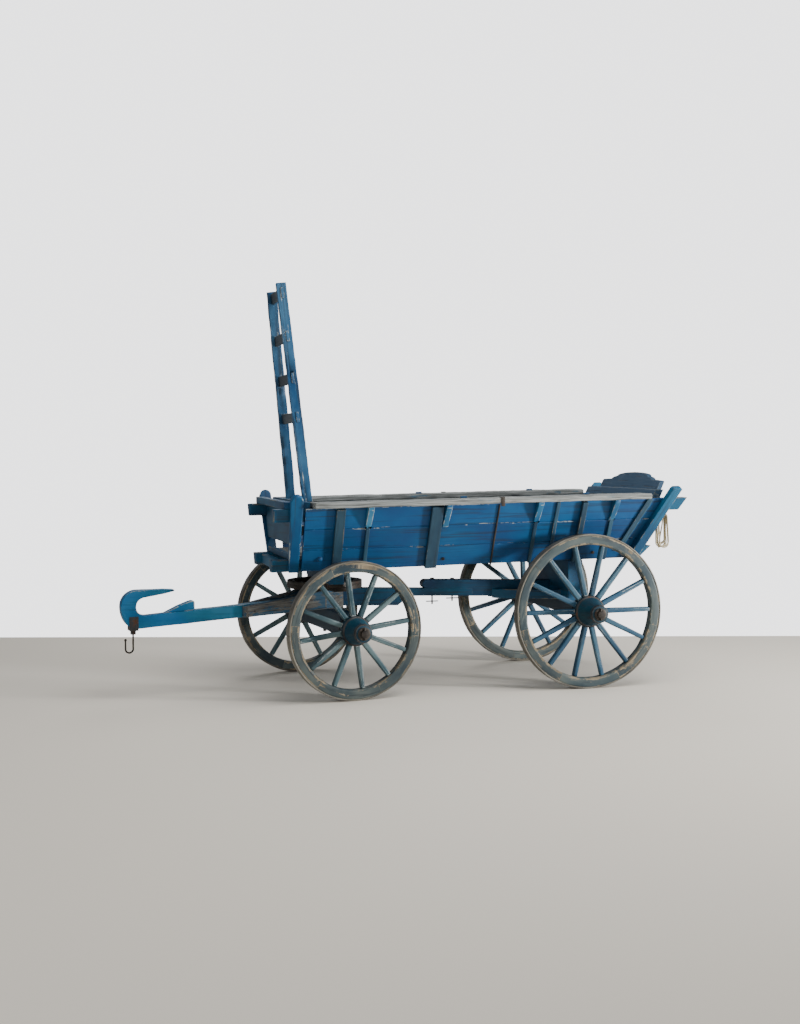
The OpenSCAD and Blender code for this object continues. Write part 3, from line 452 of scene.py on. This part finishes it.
OLD_OAK = bare_wood("old_oak", colour(112, 112, 108), colour(44, 42, 40), colour(16, 66, 92), left=0.62)
PLANK_GREY = bare_wood("plank_grey", colour(160, 164, 162), colour(66, 68, 66), colour(60, 92, 112),
                       left=0.3)
TAIL_GREY = bare_wood("tail_grey", colour(112, 122, 124), colour(46, 56, 62), colour(12, 66, 100), left=0.9)
IRON = old_iron("iron", colour(32, 29, 27), colour(84, 52, 34), colour(70, 64, 58), rusty=0.5)
RUSTY_IRON = old_iron("rusty_iron", colour(40, 44, 48), colour(92, 62, 44), colour(70, 70, 70), rusty=0.6)
TYRE_IRON = old_iron("tyre_iron", colour(66, 64, 60), colour(92, 74, 58), colour(118, 114, 104),
                     rusty=0.45, bright=0.6)
ROPE = rope_fibre("rope", colour(196, 184, 154), colour(104, 90, 68))

# ---- worn copies of the CAD pieces ------------------------------------------------


SMALL_NICK = 0.06
LARGE_NICK = 0.19
LONG_WAVE = 0.11
SHORT_WAVE = 0.03


def welded(node):
    """A bmesh copy of a CAD node, with its corners joined and its flat faces whole."""
    bm = bmesh.new()
    bm.from_mesh(cad_nodes[node].data)
    bmesh.ops.remove_doubles(bm, verts=bm.verts, dist=1e-5)
    bmesh.ops.dissolve_limit(bm, angle_limit=math.radians(0.6), verts=bm.verts, edges=bm.edges)
    return bm


def islands(bm):
    """The separate solids of a bmesh, as lists of vertices."""
    seen, groups = set(), []
    for start in bm.verts:
        if start in seen:
            continue
        group, queue = [], [start]
        seen.add(start)
        while queue:
            v = queue.pop()
            group.append(v)
            for e in v.link_edges:
                other = e.other_vert(v)
                if other not in seen:
                    seen.add(other)
                    queue.append(other)
        groups.append(group)
    return groups


def straight(axis):
    """Grain coordinates of a straight piece whose fibres run along an axis."""
    ahead = Vector(axis).normalized()
    side = ahead.orthogonal().normalized()
    up = ahead.cross(side)
    return lambda p: Vector((p.dot(ahead), p.dot(side), p.dot(up)))


def longest(group):
    """The direction in which a solid is longest, from the middles of its two ends."""
    low = Vector([min(v.co[i] for v in group) for i in range(3)])
    high = Vector([max(v.co[i] for v in group) for i in range(3)])
    span = high - low
    main = max(range(3), key=lambda i: span[i])
    ends = [sorted(group, key=lambda v: v.co[main])[: max(2, len(group) // 4)]]
    ends.append(sorted(group, key=lambda v: -v.co[main])[: max(2, len(group) // 4)])
    middles = [sum((v.co for v in end), Vector()) / len(end) for end in ends]
    return (middles[1] - middles[0]).normalized()


def wobble(p, size, amount, seed):
    """A smooth random shift of a point, with waves about as long as size."""
    return noise.noise_vector((p + Vector((seed, seed * 0.7, -seed))) / size) * amount


def mark(bm, grain_of=None):
    """Writes the grain coordinate, and a tint for each separate solid, on every vertex."""
    grain = bm.verts.layers.float_vector.new("grain")
    tint = bm.verts.layers.float.new("tint")
    for group in islands(bm):
        shift = Vector([rng.uniform(0, 40) for _ in range(3)])
        shade = rng.random()
        along = grain_of or straight(longest(group))
        for v in group:
            v[grain] = along(v.co) + shift
            v[tint] = shade


def inset_faces(bm, wear, border):
    """Sets off a border inside every large enough face that is still worn all over."""
    wide = [f for f in bm.faces if all(v[wear] for v in f.verts) and narrowest(f) > 2.6 * border
            and f.calc_area() > 25 * border * border]
    if wide:
        before = set(bm.verts)
        bmesh.ops.inset_individual(bm, faces=wide, thickness=border, use_even_offset=False)
        for v in bm.verts:
            if v not in before:
                v[wear] = 0


def weather(node, material, bevel, rough, grain=None, slices=0.07, inset=0.009, nick=0.0,
            edge=1.0, sharp=28, other=None, reshape=None, round_edge=None):
    """A copy of a CAD node with rounded edges, an uneven surface, nicks along its edges and the
    attributes that its finish needs: wear is edge on its edges and 0 a little way in from them.
    other is a second material, with a test that says which faces have it, reshape changes the copy
    first, and round_edge says which sharp edges are rounded."""
    bm = welded(node)
    if reshape:
        reshape(bm)
    edges = [e for e in bm.edges if e.is_manifold and e.calc_face_angle(0) > math.radians(sharp)
             and (round_edge is None or round_edge(e))]
    if edges:
        bmesh.ops.bevel(bm, geom=edges, offset=bevel, segments=2, profile=0.55, affect="EDGES",
                        clamp_overlap=True)
    wear = bm.verts.layers.float.new("wear")
    for v in bm.verts:
        v[wear] = edge
    for border in (inset, inset / 2, inset / 4) if inset else ():
        inset_faces(bm, wear, border)
    if slices:
        for group in islands(bm):
            cut_across(bm, group, slices)
    mark(bm, grain)
    if other:
        for group in islands(bm):
            for f in {f for v in group for f in v.link_faces}:
                f.material_index = 1 if other[1](f, group) else 0
    if nick:
        bm.normal_update()
        for v in bm.verts:
            small = noise.noise(v.co / SMALL_NICK + Vector((5, 1, 9)))
            depth = small * 0.7 + noise.noise(v.co / LARGE_NICK) * 0.6 - 0.12
            v.co -= v.normal * nick * max(0.0, depth) * v[wear]
    if rough:
        for v in bm.verts:
            v.co += wobble(v.co, LONG_WAVE, rough, 3.1) + wobble(v.co, SHORT_WAVE, rough * 0.5, 9.4)
    mesh = bpy.data.meshes.new(node)
    bm.to_mesh(mesh)
    bm.free()
    piece = new_piece(node + "_worn", mesh, body_of_node[node], material)
    if other:
        mesh.materials.append(other[0])
    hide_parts(node)
    return piece


def narrowest(face):
    """About how narrow a flat face is: its area over half its outline."""
    return 2 * face.calc_area() / face.calc_perimeter()


def cut_across(bm, group, step):
    """Cuts one solid into short lengths across its longest direction, so that its surface can be uneven."""
    ahead = longest(group)
    places = [v.co.dot(ahead) for v in group]
    low, high = min(places), max(places)
    if high - low < 3 * step:
        return
    count = int((high - low) / step)
    faces = {f for v in group for f in v.link_faces}
    edges = {e for v in group for e in v.link_edges}
    geom = list(group) + list(edges) + list(faces)
    for i in range(1, count):
        at = ahead * (low + (high - low) * i / count)
        cut = bmesh.ops.bisect_plane(bm, geom=geom, dist=1e-6, plane_co=at, plane_no=ahead)
        geom = cut["geom"]


# ---- body ----------------------------------------------------------------------

for node in ("left_side_boards", "right_side_boards"):
    weather(node, BODY_BLUE, bevel=0.002, rough=0.0012, edge=0.75)
for node in ("lower_beams", "upper_beams"):
    weather(node, BEAM_BLUE, bevel=0.006, rough=0.0016, nick=0.006)
for node in ("front_bolster", "rear_bolster"):
    weather(node, BEAM_BLUE, bevel=0.006, rough=0.0014, nick=0.004)
weather("plank_brackets", BRACKET_BLUE, bevel=0.004, rough=0.001, nick=0.003)
for node in ("front_crossbars", "front_board", "tail_guides", "rear_stiles"):
    weather(node, BEAM_BLUE, bevel=0.004, rough=0.001, nick=0.004)
weather("side_ribs", RIB_BLUE, bevel=0.003, rough=0.0008, edge=0.7)
weather("corner_posts", BRIGHT_BLUE, bevel=0.005, rough=0.0012, nick=0.004, edge=0.8)
weather("top_planks", PLANK_GREY, bevel=0.006, rough=0.003, inset=0.014,
        slices=0.03, nick=0.012)
weather("floor_boards", PLANK_GREY, bevel=0.002, rough=0.001)
weather("tailboard", TAIL_GREY, bevel=0.004, rough=0.0014, nick=0.005)

# ---- ladder --------------------------------------------------------------------

weather("ladder_stiles", LADDER_BLUE, bevel=0.006, rough=0.002, slices=0.03, nick=0.01, edge=0.8)
weather("ladder_rungs", RUNG_DARK, bevel=0.003, rough=0.001, nick=0.005,
        other=(LADDER_BLUE, lambda face, group: abs(face.normal.y) > 0.9))

# ---- undercarriage ---------------------------------------------------------------

for node in ("reach_front", "reach_rear", "hounds"):
    weather(node, BEAM_BLUE, bevel=0.006, rough=0.0014, nick=0.005)
for node in ("rear_axle_bed", "front_axle_bed"):
    weather(node, DARK_BLUE, bevel=0.006, rough=0.0014, nick=0.004)
weather("futchells", OLD_OAK, bevel=0.006, rough=0.0014, nick=0.008)
weather("pole", POLE_BLUE, bevel=0.009, rough=0.0016, inset=0.012, nick=0.006, edge=0.8)
weather("pole_cleat", POLE_BLUE, bevel=0.006, rough=0.0014, nick=0.004)

# ---- ironwork --------------------------------------------------------------------

KNOB_WIDTH = (0.036, 0.05)
KNOB_CORNERS = 40


def is_knob(face, group):
    """The two round knobs low on the sides are painted: solids of many corners and their width."""
    along = [v.co.x for v in group]
    return len(group) >= KNOB_CORNERS and KNOB_WIDTH[0] < max(along) - min(along) < KNOB_WIDTH[1]


def forge(node, material, other=None):
    """Ironwork of the wagon, with its ends' edges just broken."""
    weather(node, material, bevel=0.0012, rough=0.0003, inset=0, slices=0, edge=0.3, sharp=60,
            other=other)


for node in ("turntable_upper", "turntable_lower", "kingpin", "reach_bolts", "ladder_staples", "draft_hook",
             "front_axle_iron", "rear_axle_iron", "front_linchpins", "rear_linchpins"):
    forge(node, IRON)
forge("pole_ironwork", RUSTY_IRON)
forge("box_ironwork", IRON, other=(BRIGHT_BLUE, is_knob))

# ---- wheels ----------------------------------------------------------------------

JOINT_STRETCH = 1.0085
SAME_RING = 0.002


def dress_wheel(side):
    """The five pieces of one wheel, with their grain round the rim or along the axle."""
    spin = joints[side + "_spin"]
    hub = Vector(spin["pos_m"])
    axle = Vector(spin["axis"]).normalized()
    if side.startswith("left"):
        axle = -axle
    up = Vector((0, 0, 1))
    ahead = up.cross(axle)

    def polar(p):
        """Distance from the axle, angle round it and place along it."""
        d = p - hub
        x, z = d.dot(ahead), d.dot(up)
        return math.hypot(x, z), math.atan2(z, x), d.dot(axle)

    def round_grain(p):
        r, angle, a = polar(p)
        return Vector((angle * 0.5, r, a))

    def axle_grain(p):
        r, angle, a = polar(p)
        return Vector((a, r * math.cos(angle), r * math.sin(angle)))

    def close_joints(bm):
        """The felloes' saw kerfs close to a fine line."""
        for group in islands(bm):
            mid = polar(sum((v.co for v in group), Vector()) / len(group))[1]
            for v in group:
                r, angle, a = polar(v.co)
                off = (angle - mid + math.pi) % (2 * math.pi) - math.pi
                turned = mid + off * JOINT_STRETCH
                v.co = hub + axle * a + (ahead * math.cos(turned) + up * math.sin(turned)) * r

    def runs_round(e):
        """The long edges of a felloe, and not those of its ends."""
        a, b = (polar(v.co) for v in e.verts)
        return abs(a[0] - b[0]) < SAME_RING and abs(a[2] - b[2]) < SAME_RING

    weather(side + "_nave", NAVE_BLUE, bevel=0.002, rough=0.0006, grain=axle_grain,
            slices=0, inset=0, edge=0.1)
    weather(side + "_bands", RUSTY_IRON, bevel=0.001, rough=0.0003, grain=axle_grain,
            slices=0, inset=0, edge=0.2)
    weather(side + "_felloes", FELLOE_GREY, bevel=0.005, rough=0.001, grain=round_grain,
            slices=0, nick=0.004, reshape=close_joints, round_edge=runs_round)
    weather(side + "_tyre", TYRE_IRON, bevel=0.003, rough=0.0012, grain=round_grain,
            slices=0, inset=0, edge=0.4)
    weather(side + "_spokes", SPOKE_GREY if "front" in side else SPOKE_BLUE, bevel=0.011,
            rough=0.001, slices=0.05, nick=0.003, edge=0.8)


for side in ("left_front", "right_front", "left_rear", "right_rear"):
    dress_wheel(side)

# ---- the rope's pieces --------------------------------------------------------------

route = resample(rope_route(), ROPE_STEP)
rope = new_piece("rope", laid_rope(route, ROPE_D), "wagon", ROPE)
knot_line = resample(knot_route(route[-1] - Vector((0, 0, KNOT_DROP)), KNOT_SIZE), KNOT_STEP)
knot = new_piece("rope_knot", laid_rope(knot_line, KNOT_ROPE_D, round_steps=12), "wagon", ROPE)
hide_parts("rope_hank")

# ---- floor and light ----------------------------------------------------------------

FLOOR_SIDE = 30.0
FLOOR_BACK = 11.6
ROOM_LIGHT = 0.36
WALL_LIGHT = 2.8

view_flat = Vector((math.sin(CAMERA_YAW), math.cos(CAMERA_YAW), 0))
view_side = Vector((view_flat.y, -view_flat.x, 0))
floor_from = Vector((CAMERA_AT.x, CAMERA_AT.y, 0))
outline = ((-FLOOR_SIDE, -FLOOR_SIDE), (-FLOOR_SIDE, FLOOR_SIDE), (FLOOR_BACK, FLOOR_SIDE),
           (FLOOR_BACK, -FLOOR_SIDE))
corners = [floor_from + view_flat * a + view_side * b for a, b in outline]
floor_mesh = bpy.data.meshes.new("floor")
floor_mesh.from_pydata(corners, [], [(0, 1, 2, 3)])
floor = bpy.data.objects.new("floor", floor_mesh)
bpy.context.scene.collection.objects.link(floor)
floor_material = bpy.data.materials.new("floor")
floor_material.use_nodes = True
floor_finish = floor_material.node_tree.nodes["Principled BSDF"].inputs
floor_finish["Base Color"].default_value = colour(226, 218, 204)
floor_finish["Roughness"].default_value = 0.8
floor_mesh.materials.append(floor_material)

world = bpy.data.worlds.new("studio")
world.use_nodes = True
world_nodes = world.node_tree.nodes
lit = world_nodes["Background"]
lit.inputs["Color"].default_value = colour(236, 240, 246)
lit.inputs["Strength"].default_value = ROOM_LIGHT
wall = world_nodes.new("ShaderNodeBackground")
wall.inputs["Color"].default_value = colour(250, 250, 252)
wall.inputs["Strength"].default_value = WALL_LIGHT
seen = world_nodes.new("ShaderNodeMixShader")
world.node_tree.links.new(world_nodes.new("ShaderNodeLightPath").outputs["Is Camera Ray"], seen.inputs[0])
world.node_tree.links.new(lit.outputs[0], seen.inputs[1])
world.node_tree.links.new(wall.outputs[0], seen.inputs[2])
world.node_tree.links.new(seen.outputs[0], world_nodes["World Output"].inputs[0])
bpy.context.scene.world = world


def area_light(name, at, towards, size, power):
    """A square light that faces a point."""
    light = bpy.data.objects.new(name, bpy.data.lights.new(name, "AREA"))
    bpy.context.scene.collection.objects.link(light)
    light.location = at
    light.rotation_mode = "QUATERNION"
    light.rotation_quaternion = (Vector(towards) - Vector(at)).to_track_quat("-Z", "Y")
    light.data.size = size
    light.data.energy = power


middle = (cad_low + cad_high) / 2
area_light("key", middle + Vector((7.4, -4.6, -0.1)), middle, 0.9, 1050)
area_light("top", middle + Vector((1.5, -2.0, 5.0)), middle, 4.5, 340)
area_light("fill", middle + Vector((-5.0, -6.0, 1.6)), middle, 4.0, 70)
area_light("back", middle + Vector((1.0, 6.0, 4.5)), middle, 4.0, 150)
